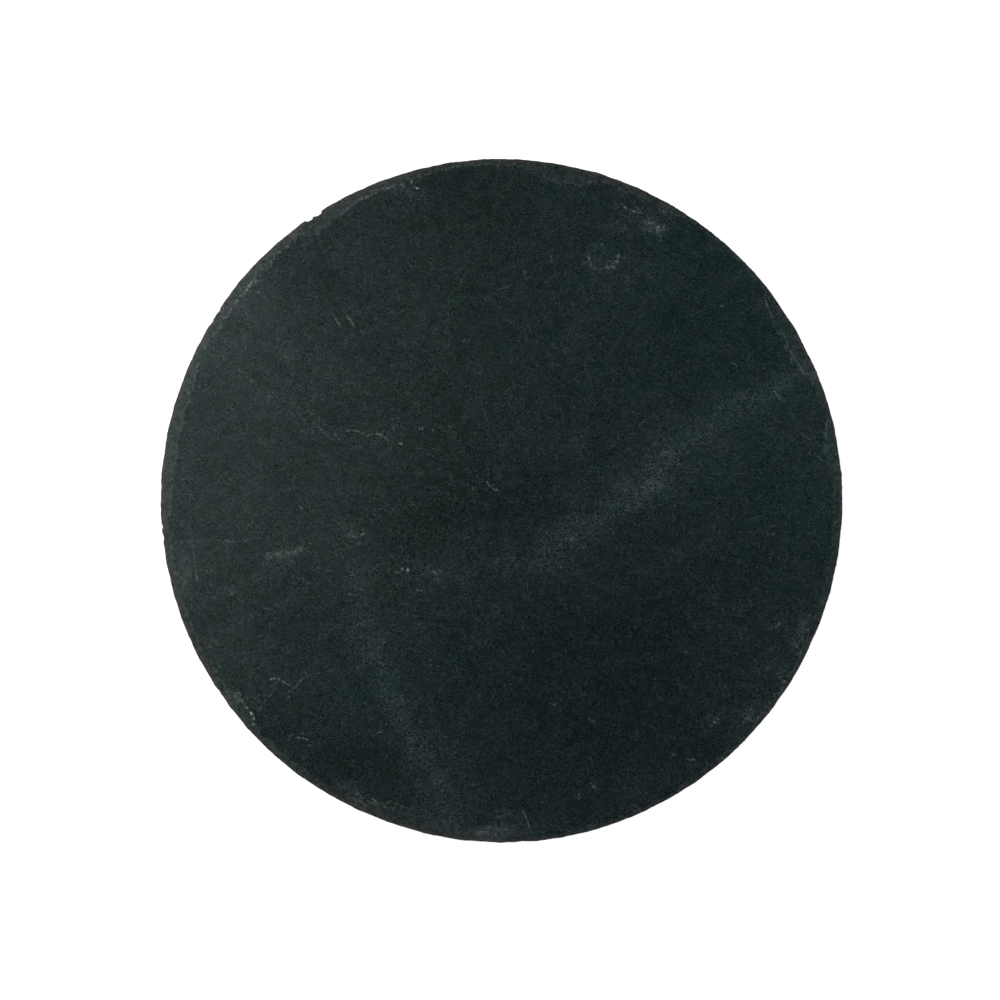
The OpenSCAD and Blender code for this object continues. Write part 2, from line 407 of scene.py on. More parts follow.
def chipBalls(table, fullWidth, fullDepth):
    # Each chip is the bite of a ball. With R the board's radius, w the bite's width, d its depth at
    # the rim and f half its angle, the ball cuts the face in a circle of radius
    # a = (R^2 + (R-w)^2 - 2R(R-w)cos f) / (2(R cos f - (R-w))), centred R - w + a from the middle,
    # and the ball's centre is h = (2aw - w^2 - d^2) / 2d above the face. At d = sqrt(2aw - w^2) the
    # centre would sink into the face, so the depth stays below that
    rows = np.array(table, float)
    turn = np.radians(rows[:, 0])
    half = np.radians(rows[:, 1])
    width = rows[:, 2] * fullWidth
    inner = boardRadius - width
    top = boardRadius**2 + inner**2 - 2 * boardRadius * inner * np.cos(half)
    ring = top / (2 * (boardRadius * np.cos(half) - inner))
    depth = np.minimum(rows[:, 3] * fullDepth, 0.8 * np.sqrt(2 * ring * width - width**2))
    rise = (2 * ring * width - width**2 - depth**2) / (2 * depth)
    away = inner + ring
    return np.stack([turn, half, away * np.cos(turn), away * np.sin(turn), rise, np.hypot(ring, rise)], 1)


def smallSpalls(count, fullWidth, fullDepth, seed):
    # Random little chips in the same form as the table: longer along the rim than across it, and shallow
    rng = np.random.default_rng(seed)
    direction = rng.uniform(0, 360, count)
    half = rng.uniform(*slate["smallHalf"], count)
    width = boardRadius * np.sin(np.radians(half)) * rng.uniform(*slate["smallWidth"], count)
    depth = width * rng.uniform(*slate["smallDepth"], count)
    table = np.stack([direction, half, width / fullWidth, depth / fullDepth], 1)
    return chipBalls(table, fullWidth, fullDepth)


def edgeBalls(table, fullWidth, depthShare, smallCount, seed):
    # the balls of the table's chips and of the spalls between them
    fullDepth = depthShare * slateThick
    big = chipBalls(table, fullWidth, fullDepth)
    return np.concatenate([big, smallSpalls(smallCount, fullWidth, fullDepth, seed)])


def chippedDepth(x, y, turn, balls):
    # How deep the balls bite below the face at each point, 0 where none reaches
    depth = np.zeros(x.shape)
    for ballTurn, half, centreX, centreY, rise, radius in balls:
        # only the columns near the ball are worked out: those in its span and a little more
        near = np.abs((turn - ballTurn + math.pi) % (2 * math.pi) - math.pi) < half * 1.3 + 0.01
        flat = (x[..., near] - centreX) ** 2 + (y[..., near] - centreY) ** 2
        bite = np.sqrt(np.maximum(radius**2 - flat, 0)) - rise
        depth[..., near] = np.maximum(depth[..., near], bite)
    return depth


def faceSink(x, y, seed):
    # How far the riven face lies below its highest level: long waves, and thin layers that end in steps
    waveHeight, waveLength = slate["faceWave"]
    stepHeight, stepLength = slate["faceStep"]
    count = slate["faceSteps"]
    waves = roughCloud(onPlane(x, y), waveLength, 3, seed)
    layers = roughCloud(onPlane(x, y), stepLength, 4, seed + 7) * count
    level = np.floor(layers)
    steps = level + smoothStep(0.42, 0.58, layers - level)
    return waveHeight * waves + stepHeight * steps / count


def footClearance(x, y):
    # 0 under each foot and 1 away from them, so that the films lie on flat stone
    clear = np.ones(x.shape)
    for name in footNames:
        middleX, middleY = boxMiddle(name)
        away = np.hypot(x - middleX, y - middleY)
        clear = np.minimum(clear, smoothStep(slate["footPad"], 2 * slate["footPad"], away))
    return clear


def flakeSink(x, y):
    # A thin layer is missing between each flake's inner line and the rim
    direction = np.degrees(np.arctan2(y, x)) % 360
    away = np.hypot(x, y) / boardRadius
    wander = swingField(onPlane(x, y), *slate["flakeWander"], 2, 31)
    step = slate["flakeStep"]
    sink = np.zeros(x.shape)
    for line in slate["flakeShares"]:
        rows = np.array(line)
        inner = np.interp(direction, rows[:, 0], rows[:, 1], left=9, right=9)
        sink = np.maximum(sink, smoothStep(-step, step, away + wander - inner))
    return sink * slate["flakeThick"]


def faceDepth(x, y):
    # depth of the unchipped serving face below its highest level
    return faceSink(x, y, 3) + flakeSink(x, y)


def underLift(x, y):
    # how far the unchipped underside is hollowed
    return faceSink(x, y, 23) * footClearance(x, y)


def edgeBreak(x, y, turn, balls, seed):
    # Depth of the broken edge: the chips' bites, followed part of the way by cleavage layers,
    # with coarse and fine facets on them that fade out where the bite begins
    points = onPlane(x, y)
    shiftX = swingField(points, *slate["biteWander"], 3, seed)
    shiftY = swingField(points, *slate["biteWander"], 3, seed + 5)
    depth = chippedDepth(x + shiftX, y + shiftY, turn, balls)
    fadeIn = smoothStep(0, slate["facetStart"], depth)
    grain, height = slate["coarseFacets"]
    coarse = facetField(x, y, grain, seed + 9) * height
    grain, height = slate["fineFacets"]
    fine = facetField(x + shiftX, y + shiftY, grain, seed + 10) * height
    depth = depth + fadeIn * (coarse + fine)
    layers = depth / slate["layer"] + roughCloud(points, slate["layerBend"], 2, seed + 11)
    level = np.floor(layers)
    stepped = (level + smoothStep(0.25, 0.75, layers - level) - layers) * slate["layer"]
    return np.maximum(depth + fadeIn * slate["layerShare"] * stepped, 0)


def outlineRadius(turn):
    # The board's radius in each direction: measured inward drift, nicks, and a fine roughness
    direction = np.degrees(turn) % 360
    inward = aroundRim(slate["outlineInPx"], direction)
    for centre, half, depth in slate["nicks"]:
        away = np.abs((direction - centre + 180) % 360 - 180) / half
        inward = inward + depth * (1 - smoothStep(0.5, 1, away))
    rough = roughCloud(ringPoints(boardRadius, 0, turn), slate["outlineGrain"], 3, 61)
    inward = inward + rough * slate["outlineRoughPx"]
    return boardRadius - np.maximum(inward - slate["outlineEasePx"], 0) * metresPerPixel


def bandWidth(turn):
    # Width of the chipped band in each direction: the measured one, made ragged by two sizes of wander
    rim = ringPoints(boardRadius, 0, turn)
    coarse, fine = slate["bandWander"]
    ragged = swingField(rim, *coarse, 3, 63) + swingField(rim, *fine, 2, 67)
    width = aroundRim(slate["bandPx"], np.degrees(turn)) + ragged
    return np.maximum(width, slate["leastBandPx"]) * metresPerPixel


def roundGrid(cells):
    # Square grid squeezed onto a unit disc: every square ring of the grid becomes a circle
    # with its points evenly spread, so there is no pole
    side = np.linspace(-1, 1, cells + 1)
    u, v = np.meshgrid(side, side)
    wide = np.abs(u) >= np.abs(v)
    away = np.where(wide, u, v)
    safe = np.where(away == 0, 1, away)
    turn = np.where(wide, v / safe * math.pi / 4, math.pi / 2 - u / safe * math.pi / 4)
    index = np.arange((cells + 1) ** 2).reshape(cells + 1, cells + 1)
    quads = np.stack([index[:-1, :-1], index[:-1, 1:], index[1:, 1:], index[1:, :-1]], -1).reshape(-1, 4)
    loop = np.concatenate([index[:-1, -1], index[-1, :0:-1], index[:0:-1, 0], index[0, :-1]])
    return (away * np.cos(turn)).ravel(), (away * np.sin(turn)).ravel(), quads, loop


def bandFaces(first, second):
    # Faces between two rings of points that both run anticlockwise. Equal rings give quads,
    # and a ring beside one of half its points gives three triangles for each coarse step
    nextFirst = np.roll(first, -1)
    nextSecond = np.roll(second, -1)
    if len(first) == len(second):
        return np.stack([first, second, nextSecond, nextFirst], 1).tolist()
    if len(second) == 2 * len(first):
        a, b, c = second[::2], second[1::2], np.roll(second[::2], -1)
        triples = [(first, a, b), (first, b, nextFirst), (nextFirst, b, c)]
    else:
        a, b, c = first[::2], first[1::2], np.roll(first[::2], -1)
        triples = [(a, second, b), (b, second, nextSecond), (b, nextSecond, c)]
    return np.concatenate([np.stack(triple, 1) for triple in triples]).tolist()


# what a point of the slate is: a number that rises along the skin, so that the band goes from 1 to 2
# and the lower chips from 2 to 3
onFace = 0
besideArris = 0.4
onBand = 1
onWall = 2
onLowerArris = 3
onUnderside = 4


def slateSurface():
    # The whole stone as one closed skin, from the middle of the serving face out over the chipped
    # edge and back to the middle of the underside. Returns points, faces, what each point is,
    # and how strong its crushed line and painted arris highlight are
    cells = slate["gridCells"]
    columns = cells * 16
    turn = -math.pi / 4 + np.arange(columns) * 2 * math.pi / columns
    rim = outlineRadius(turn)
    balls = edgeBalls(chipShares, slate["chipWidth"], slate["chipDepth"], slate["smallChips"], 5)
    underBalls = edgeBalls(
        underChipShares, slate["underChipWidth"], slate["underChipDepth"], slate["underSmallChips"], 8
    )

    def faceHeight(radius, ownTurn):
        # height of the serving face where nothing is chipped
        return slateTop - faceDepth(radius * np.cos(ownTurn), radius * np.sin(ownTurn))

    def brokenDepth(radius):
        # how far the broken edge lies below the riven face
        x, y = radius * np.cos(turn), radius * np.sin(turn)
        worn = np.maximum(slate["arrisRound"] - (rim - radius), 0)
        return np.maximum(np.maximum(edgeBreak(x, y, turn, balls, 17), worn) - faceDepth(x, y), 0)

    def underHeight(radius, ownTurn, chipped):
        # height of the underside, with or without the lower chips
        x, y = radius * np.cos(ownTurn), radius * np.sin(ownTurn)
        lift = underLift(x, y)
        if chipped:
            worn = np.maximum(slate["underRound"] - (rim - radius), 0)
            lift = np.maximum(lift, np.maximum(edgeBreak(x, y, ownTurn, underBalls, 43), worn))
        return slateBottom + lift

    def underDepth(radius):
        return underHeight(radius, turn, True) - underHeight(radius, turn, False)

    def breakStart(depth, reach, narrowest):
        # innermost radius where the chips cut the face, between two of the scanned radii by a straight line
        scan = rim - np.linspace(reach, 0, slate["reachSteps"])[:, None]
        cut = depth(scan) - slate["leastCut"]
        first = np.maximum(np.argmax(cut > 0, axis=0), 1)
        column = np.arange(columns)
        after = cut[first, column]
        before = cut[first - 1, column]
        part = np.clip(-before / np.maximum(after - before, 1e-9), 0, 1)
        start = scan[first - 1, column] * (1 - part) + scan[first, column] * part
        return np.minimum(start, rim - narrowest)

    chipStart = breakStart(brokenDepth, slate["chipReach"], slate["arrisRound"])
    underArris = breakStart(underDepth, slate["underReach"], slate["underRound"])
    arris = rim - bandWidth(turn)
    bruiseAndHighlight = aroundRim(slate["bruiseAndHighlightByDirection"], np.degrees(turn))

    points, faces, sorts, bruiseAndHighlights = [], [], [], []
    count = 0

    def addPoints(rows, sort, bruisedAndHighlit=0.0):
        nonlocal count
        points.append(rows)
        sorts.append(np.full(len(rows), sort, float))
        bruiseAndHighlights.append(np.full(len(rows), 0.0) + bruisedAndHighlit)
        count += len(rows)
        return np.arange(count - len(rows), count)

    def addRing(radius, height, ownTurn, sort, bruisedAndHighlit=0.0):
        # one more ring of points, joined to the one before by faces
        nonlocal last
        ring = addPoints(ringPoints(radius, height, ownTurn), sort, bruisedAndHighlit)
        faces.extend(bandFaces(last, ring))
        last = ring

    def addGrid(gridCells, heightAt, sort):
        # the middle of a face: its point numbers by square, and round its outside
        x, y, quads, loop = roundGrid(gridCells)
        x, y = x * slate["gridShare"] * boardRadius, y * slate["gridShare"] * boardRadius
        grid = addPoints(np.stack([x, y, heightAt(x, y)], -1), sort)
        return grid[quads], grid[loop]

    # serving face: a grid in the middle and rings around it
    squares, last = addGrid(cells, lambda x, y: slateTop - faceDepth(x, y), onFace)
    faces += squares.tolist()
    for share, step in slate["faceRings"]:
        ringTurn = turn[::step]
        radius = share * boardRadius
        addRing(radius, faceHeight(radius, ringTurn), ringTurn, onFace)
    farGap, nearGap = slate["gapsToArris"]
    shares = slate["bruiseAndHighlightShares"]
    start, inside = radius, arris - farGap
    for t in np.linspace(0, 1, slate["ringCounts"]["face"] + 1)[1:]:
        radius = start + (inside - start) * t
        addRing(radius, faceHeight(radius, turn), turn, onFace)
    radius = arris - nearGap
    addRing(radius, faceHeight(radius, turn), turn, besideArris, bruiseAndHighlight * shares[0])
    # chipped band from its arris to the rim: the chips' own profile, stretched to the band's width
    bandSteps = slate["ringCounts"]["band"]
    for n in range(bandSteps + 1):
        part = n / bandSteps
        radius = arris + (rim - arris) * part
        height = faceHeight(radius, turn)
        if n > 0:
            height = height - brokenDepth(chipStart + (rim - chipStart) * part)
        addRing(radius, height, turn, onBand + part, bruiseAndHighlight * shares[min(n + 1, 3)])
    # broken wall down to the lower chips, in rough layers with hollows
    wallTop = height
    wallFoot = np.minimum(underHeight(rim, turn, True), wallTop - slate["leastWall"])
    wallSteps = slate["ringCounts"]["wall"]
    (coarse, deep), (fine, shallow) = slate["wallHollows"]
    for n in range(1, wallSteps + 1):
        z = wallTop + (wallFoot - wallTop) * n / wallSteps
        wallPoints = ringPoints(rim, z, turn) * np.array([1, 1, slate["wallFlat"]])
        inward = roughCloud(wallPoints, coarse, 3, 71) * deep + cloud(wallPoints, fine, 77) * shallow
        addRing(rim - inward * math.sin(math.pi * n / wallSteps), z, turn, onWall)
    underSteps = slate["ringCounts"]["underBand"]
    for n in range(1, underSteps + 1):
        radius = rim + (underArris - rim) * n / underSteps
        addRing(radius, underHeight(radius, turn, n < underSteps), turn, onWall + n / underSteps)
    # underside, in ever coarser rings down to a grid half as fine
    for share, step in slate["underRings"]:
        ringTurn = turn[::step]
        radius = share * boardRadius
        addRing(radius, underHeight(radius, ringTurn, False), ringTurn, onUnderside)
    squares, loop = addGrid(cells // 2, lambda x, y: slateBottom + underLift(x, y), onUnderside)
    faces += bandFaces(last, loop)
    faces += squares[:, ::-1].tolist()
    return np.concatenate(points), faces, np.concatenate(sorts), np.concatenate(bruiseAndHighlights)


slatePoints, slateFaces, slateSorts, slateBruiseAndHighlight = slateSurface()
slatePiece = addMesh("rivenSlate", slatePoints, slateFaces)
sharpenRing(slatePiece, np.isin(slateSorts, (onBand, onWall, onLowerArris)))
print("slate:", len(slatePoints), "points,", sum(len(f) - 2 for f in slateFaces), "triangles")


# Marks on the serving face, in photo pixels. Their strength is in levels: one level is one step of
# the photo's 0 to 255 scale
marks = {
    "veilWander": (14 * mm, 9 * mm),     # grain and swing by which the veils' edges wander
    "veilPatches": (11 * mm, 0.35, 1.3),  # grain of the thin and thick places, thinnest and swing
    # dusty veils and patches: bent lines of (x, y, half width, levels)
    "veils": [
        [(812, 372, 10, 7), (782, 384, 11, 9), (755, 400, 12, 10), (713, 414, 17, 9), (693, 427, 20, 8),
         (673, 443, 19, 8), (656, 462, 18, 9), (646, 484, 18, 13), (630, 490, 19, 10), (612, 502, 16, 8),
         (594, 518, 15, 7), (575, 533, 17, 8), (555, 543, 17, 9), (533, 556, 16, 8), (510, 561, 14, 7),
         (485, 561, 13, 6), (460, 567, 13, 6), (435, 570, 13, 7), (405, 570, 11, 6)],
        [(350, 552, 14, 2), (362, 585, 18, 6), (368, 620, 25, 8), (376, 655, 21, 9), (385, 688, 15, 7.5),
         (400, 720, 18, 9.5), (417, 742, 17, 9), (434, 770, 18, 9), (442, 800, 17, 6),
         (462, 824, 13, 4)],
        [(221, 357, 6, 4), (255, 388, 6, 2), (285, 403, 5, 2), (315, 426, 6, 4), (332, 438, 5, 4)],
        [(648, 224, 8, 13), (658, 230, 7, 14)], [(620, 204, 4, 4), (637, 212, 5, 9)],
        [(614, 222, 6, 7), (627, 227, 6, 9)], [(660, 214, 5, 10), (669, 212, 5, 9)],
        [(590, 260, 6, 5), (597, 270, 6, 5), (615, 260, 6, 12)],
        [(232, 694, 5, 14), (242, 697, 5, 10), (258, 697, 4, 5)],
        [(480, 831, 7, 12), (492, 829, 7, 12), (512, 825, 6, 8)], [(498, 813, 6, 7), (524, 822, 6, 6)],
        [(811, 614, 6, 8), (807, 630, 6, 15), (800, 648, 6, 13)], [(745, 716, 8, 12), (757, 710, 8, 8)],
        [(710, 724, 5, 8), (718, 717, 5, 9)],
        [(392, 192, 6, 7), (403, 189, 6, 9), (420, 193, 6, 7), (434, 190, 5, 4)],
        [(336, 783, 5, 8), (350, 791, 6, 11), (365, 798, 6, 12), (373, 801, 5, 4)],
        [(243, 298, 5, 9), (252, 291, 5, 8)], [(237, 305, 5, 7), (241, 316, 5, 8)],
        [(775, 624, 5, 8), (780, 620, 4, 10)], [(185, 545, 8, 3), (187, 565, 10, 4), (182, 578, 8, 5)],
        [(272, 606, 6, 5), (288, 598, 6, 7)], [(345, 522, 7, 5), (352, 538, 6, 10), (362, 540, 5, 8)],
        [(283, 350, 5, 10), (293, 362, 5, 10)], [(788, 668, 6, 7), (781, 681, 5, 9)],
        [(205, 645, 8, 3), (226, 641, 6, 3)], [(268, 556, 6, 8), (283, 553, 8, 10), (304, 547, 7, 7)],
        [(374, 192, 5, 5), (388, 187, 5, 7), (404, 182, 5, 8), (413, 181, 5, 9), (424, 176, 4, 5)],
        [(350, 738, 20, 2), (378, 730, 8, 3)],
    ],
    # broad changes of tone: x, y, radius, levels. The widest patches, paler on the left and darker towards
    # the lower right, are painted sheen and shade of the light from the left; the small ones are the
    # stone's own tone
    "tonesAndSheen": [
        (150, 430, 230, 16), (260, 270, 150, 6), (620, 705, 170, -7), (225, 320, 60, 4),
        (190, 360, 45, 3), (190, 565, 90, 5), (225, 670, 60, 5), (500, 360, 45, 2), (640, 350, 60, -1.5),
        (485, 500, 65, -3), (545, 640, 55, -1.5), (345, 765, 40, -2.5), (385, 760, 35, -2),
        (815, 440, 60, 3), (450, 812, 50, 2), (322, 285, 40, -2.5), (710, 455, 40, 3), (401, 698, 9, -4),
        (605, 265, 22, 2), (760, 640, 50, 2), (330, 210, 40, 2), (310, 735, 60, -2),
        (660, 640, 150, -1.5), (520, 720, 55, -2), (300, 560, 40, 2), (225, 300, 35, 2),
        (662, 272, 22, 3.5), (359, 266, 22, 3.5), (481, 609, 25, 3.5), (448, 587, 22, 3),
        (816, 402, 16, 5), (820, 516, 16, 4), (740, 728, 18, 4), (181, 580, 15, 10), (182, 462, 14, 3),
        (773, 405, 18, 4), (559, 592, 22, 3), (653, 555, 22, 3), (578, 751, 24, 3), (590, 781, 18, 2),
        (535, 828, 16, 3), (630, 803, 22, 3), (645, 774, 22, 3), (235, 398, 20, 3), (269, 307, 20, 3),
        (770, 309, 18, 3), (172, 478, 16, 3), (666, 484, 14, 3), (397, 206, 18, 3), (637, 200, 14, 3),
        (318, 593, 18, 2), (377, 596, 16, 2), (442, 666, 16, 2), (767, 670, 16, 3), (491, 172, 16, -4),
        (235, 575, 40, -3), (221, 372, 24, -3.5), (240, 708, 8, 5), (204, 357, 9, 5), (415, 637, 9, 4),
        (428, 785, 9, 4), (282, 600, 9, 4), (660, 271, 9, 4), (407, 733, 9, 4), (257, 684, 9, 4),
        (376, 697, 9, 4), (664, 482, 8, 3), (411, 504, 9, -4), (321, 233, 9, -5), (339, 229, 8, -3),
        (251, 286, 8, -4), (517, 796, 9, -3), (547, 414, 24, -3), (538, 775, 26, -3), (676, 594, 26, -3),
        (307, 399, 22, -2.5), (527, 530, 22, -2), (739, 481, 24, -2.5), (657, 658, 26, -3),
        (630, 455, 20, 3),
    ],
    # broad changes of hue: x, y, radius and the levels added to the red or the blue alone
    "redTints": [
        (790, 430, 150, -2), (690, 250, 100, -1.6), (640, 500, 70, -0.4), (400, 690, 80, -0.6),
        (640, 710, 220, 0.1), (740, 310, 90, -1), (820, 540, 80, -1), (430, 480, 100, 0.4),
    ],
    "blueTints": [
        (370, 670, 80, 1.5), (650, 620, 140, 0.3), (340, 250, 70, 0.6), (740, 340, 110, -0.6),
        (395, 680, 50, 0.4),
    ],
    # where the hue drifts less: x, y, radius and the share of the drift that is gone
    "evenHue": [(640, 700, 260, 0.95), (190, 500, 90, 0.4)],
    # fine veins, cracks and scratches: half width, levels and the points of each line
    "strokes": [
        (1.4, 16, [(343, 311), (349, 319)]), (1.4, 46, [(347, 316), (355, 327)]),
        (1.4, 9, [(329, 308), (336, 319)]), (1.5, 34, [(335, 318), (341, 327)]),
        (1.4, 13, [(219, 353), (232, 363), (250, 379), (258, 385)]),
        (1.4, 13, [(293, 405), (306, 411), (318, 417), (323, 419), (325, 426)]),
        (1.6, 26, [(318, 426), (323, 431), (333, 440)]), (1.5, 24, [(335, 432), (338, 438), (342, 440)]),
        (1.4, 28, [(346, 431), (354, 430), (361, 432)]),
        (1.3, 18, [(361, 432), (367, 434.5), (372, 434)]),
        (1.4, 36, [(365, 437), (372, 433.5), (379, 434), (384, 436)]),
        (1.5, 28, [(384, 436), (387.5, 439), (388, 444)]), (1.5, 30, [(393, 427), (395, 431)]),
        (1.8, 52, [(399, 443), (402, 444.5)]), (1.7, 38, [(419, 430), (424, 427)]),
        (1.6, 28, [(431, 429), (435, 430)]), (1.5, 20, [(438, 427), (447, 427), (456, 425)]),
        (1.6, 48, [(486, 481), (492, 488), (498, 491)]), (1.4, 24, [(298, 506), (305, 509)]),
        (1.6, 13, [(177, 541), (194, 541), (214, 540), (236, 541), (252, 539)]),
        (5.5, 20, [(266, 556), (278, 554), (291, 552), (304, 548)]),
        (1.6, 20, [(194, 542), (195, 560), (197, 573), (198, 582)]), (1.8, 20, [(182, 586), (190, 577)]),
        (1.6, 54, [(270, 678.5), (277, 677), (282, 679)]),
        (1.5, 42, [(282, 679), (287, 682.5), (291, 685)]),
        (1.5, 26, [(289, 690.5), (294, 688.5), (299, 682), (304, 676.5)]),
        (1.4, 12, [(304, 676.5), (312, 674), (326, 671), (338, 667)]),
        (1.4, 16, [(277, 681), (274, 690), (268, 698), (263, 704)]), (1.4, 24, [(263, 704), (257, 713)]),
        (1.4, 14, [(243, 700), (250, 710)]), (1.5, 14, [(244, 696), (260, 697)]),
        (1.8, 95, [(251, 711), (254, 715)]), (1.6, 50, [(254, 715), (254.5, 719)]),
        (1.6, 28, [(251, 724), (257, 722)]), (1.4, 36, [(290, 735), (295, 732)]),
        (1.4, 44, [(296, 736), (303, 737), (309, 738.5)]), (1.4, 22, [(302, 732), (307, 733)]),
        (1.4, 24, [(307, 743.5), (315, 746)]), (1.5, 28, [(377, 732), (385, 729)]),
        (1.4, 14, [(350, 791), (362, 793)]), (1.5, 28, [(372, 797), (379, 801.5), (387, 806.5)]),
        (1.4, 9, [(388, 807), (400, 806), (416, 806), (428, 810)]), (1.5, 28, [(549, 702), (556, 705)]),
        (1.5, 32, [(553, 705), (557, 700)]), (1.6, 26, [(588, 717), (595, 721)]),
        (1.5, 36, [(522.5, 808), (525, 816), (530, 827)]),
        (1.4, 7, [(499, 829), (510, 827), (522, 823)]), (1.6, 36, [(578, 792), (579, 798)]),
        (1.7, 36, [(589, 781), (596, 788)]), (1.7, 26, [(480, 830), (489, 835)]),
        (1.4, 14, [(487, 297), (498, 290), (512, 285)]), (1.6, 26, [(524, 269), (524, 278), (527, 280)]),
        (1.6, 30, [(551, 256), (551, 262)]), (1.5, 12, [(590, 246), (597, 243), (602, 244)]),
        (1.8, 18, [(590, 258), (591, 269), (602, 270), (613, 266), (618, 257)]),
        (1.6, 46, [(620, 204), (627, 210)]), (1.6, 34, [(629, 211), (641, 214)]),
        (1.4, 16, [(631, 205), (640, 211)]), (1.6, 18, [(646, 231), (655, 233), (663, 229)]),
        (1.6, 26, [(729, 362), (736, 366)]), (1.4, 14, [(765, 290), (763, 300)]),
        (1.4, 24, [(764, 300), (768, 309), (771.5, 319)]), (1.3, 12, [(771.5, 319), (781, 331)]),
        (1.3, 20, [(781, 331), (788.5, 349), (795, 361), (802, 371)]),
        (1.3, 20, [(827, 418), (824.5, 428), (825, 440)]), (1.4, 16, [(812, 452), (825, 463)]),
        (1.5, 15, [(799, 433), (810, 440)]), (1.5, 20, [(766, 534), (776, 533)]),
        (1.6, 20, [(772, 388), (778, 398), (784, 402)]), (1.6, 24, [(774, 628), (780, 620)]),
        (1.8, 24, [(745, 716), (752, 720)]), (1.5, 28, [(712, 723), (719, 716)]),
        (1.8, 36, [(687, 758), (695, 759)]), (1.5, 28, [(417, 589), (422, 590)]),
        (1.7, 44, [(433, 571), (438, 575)]), (1.5, 40, [(350, 534), (355, 537)]),
        (1.5, 58, [(361.5, 534.5), (365, 532.5)]), (1.5, 44, [(401, 185), (405, 187)]),
        (1.6, 40, [(412, 180), (411, 185)]), (1.6, 75, [(414, 188), (419.5, 189.5)]),
        (1.4, 14, [(383, 191), (392, 188.5), (402, 185.5)]),
        (1.4, 16, [(356, 202), (365, 198), (378, 193)]), (1.6, 40, [(308, 227), (317, 222)]),
        (1.4, 8, [(322, 229), (330, 226)]), (1.5, 26, [(264, 271.5), (270, 267), (274, 262)]),
        (1.5, 22, [(257, 277), (263, 276)]), (1.8, 36, [(250, 288), (254, 281), (260, 282)]),
        (1.4, 9, [(536, 177), (552, 182), (560, 184)]),
    ],
    # the line where the colour changes from greener on the left to bluer on the right
    "changeLine": [(540, 200), (438, 800)],
    "changeWander": (25 * mm, 40 * mm),  # grain and swing of that line
    "changeHalf": 20 * mm,               # half the width of the change
    "weatheredPx": 11,                   # how far in from the outline the stone is weathered
    "nearlyBroken": 0.35,                # how broken the ring just inside the arris is
    # clouds of the underside: grain and swing in levels, an even lift, and grain and levels of the dust
    "underClouds": (55 * mm, 44),
    "underLift": 6,
    "underDust": (40 * mm, 12),
    # small pale spots: x, y, radius, levels
    "spots": [
        (350.5, 593.5, 2, 26), (396, 571, 2.8, 45), (402.5, 568.5, 2.6, 62), (408, 569.5, 2.8, 64),
        (399.5, 572.5, 2.2, 36), (389, 569, 3, 26), (357, 614, 2, 24), (325, 558, 2, 16),
        (174, 514, 2.2, 22), (358, 666, 2.2, 30), (533, 650, 2, 24), (674, 737, 2, 24),
        (211, 646, 2.2, 20), (413, 295, 2.2, 22), (351, 535, 2.8, 40), (355, 535.5, 2.4, 38),
        (359, 543, 2.4, 38), (797, 535, 3.5, 26), (536, 552, 4, 22), (454, 720, 2.2, 16),
        (430, 664, 2.4, 24), (438, 666, 2.8, 20), (527, 584, 2.4, 22), (835, 522, 2.2, 26),
        (590, 183, 2.4, 24), (606, 182, 3, 18), (749, 354, 2.2, 20), (561, 387, 2.2, 18),
        (578, 270, 2.6, 16), (465, 536, 4.5, 18), (571, 539, 5.5, 22), (270, 398, 3.4, 20),
        (782, 681, 2.8, 38), (766, 667, 2.6, 26), (797, 653, 3, 26), (721, 757, 3, 28),
        (247, 338, 6, 10), (247, 348, 3, 10), (222, 310, 3, 40), (294, 236, 6, 20), (520, 680, 2.6, 36),
        (721, 306, 2.6, 28), (572, 304, 3, 24), (464, 341, 2.8, 26), (423, 337, 2.4, 18),
        (438, 288, 2.6, 20), (618, 439, 2.2, 24), (706, 762, 2.6, 20), (672, 753, 2.6, 24),
        (657, 227.5, 3, 46), (656.5, 232.5, 2.4, 46), (663.5, 229.5, 2.8, 26), (648, 223, 4, 22),
        (647, 230, 3.4, 20), (652, 219, 2.6, 20), (643, 222, 2.2, 20), (606, 262, 2.2, 18),
        (585, 263, 2, 20), (600, 240, 2.2, 24), (624, 258, 2.4, 20), (352, 530, 2, 24),
        (347, 545, 2.2, 22), (232, 700, 2.2, 24), (226, 690, 2.4, 22), (240, 692, 2.2, 20),
        (750, 708, 2.4, 22), (742, 722, 2.2, 24), (757, 716, 2.4, 20), (807, 628, 2.6, 22),
        (803, 640, 2.6, 22), (811, 616, 2.4, 22), (488, 826, 2.4, 22), (482, 836, 2.4, 20),
        (496, 833, 2.2, 20), (685, 651, 3.6, 20), (440, 570, 2.4, 26), (236, 694, 3.4, 34),
        (240, 693, 3, 50), (244, 701, 2.4, 24), (289, 696, 3, 22), (251, 695, 2.2, 18),
        (338, 784, 2.4, 30), (342, 787, 2.2, 28), (345, 785, 2, 20), (362, 199, 2.4, 32),
        (365, 197, 2, 24), (403, 185.5, 2.4, 40), (397, 188, 2.2, 20), (762, 401, 3, 22),
        (658, 484, 3, 24), (621, 473, 3, 18), (797, 645, 3.4, 26), (248, 291, 2.6, 28),
        (243, 297, 2.4, 24), (255, 283, 2.6, 28), (261, 281, 2.4, 20), (236, 315, 2.6, 22),
        (273, 685, 2.4, 18), (385, 689, 3, 18), (405, 725, 2.8, 18), (498, 815, 3.4, 22),
        (492, 825, 2.4, 18), (589, 259, 2.6, 32), (590, 265, 2.4, 34), (594, 269, 2.6, 20),
        (600, 271, 2.4, 24), (607, 270, 2.4, 20), (613, 267, 2.8, 36), (617, 262, 3, 46),
        (618, 257, 2.8, 58), (595, 246, 3, 18), (601, 246, 2.6, 22), (626, 228, 3.6, 14),
        (617, 222, 2.6, 20), (639, 214, 2.6, 20), (663, 213, 3, 22),
    ],
}


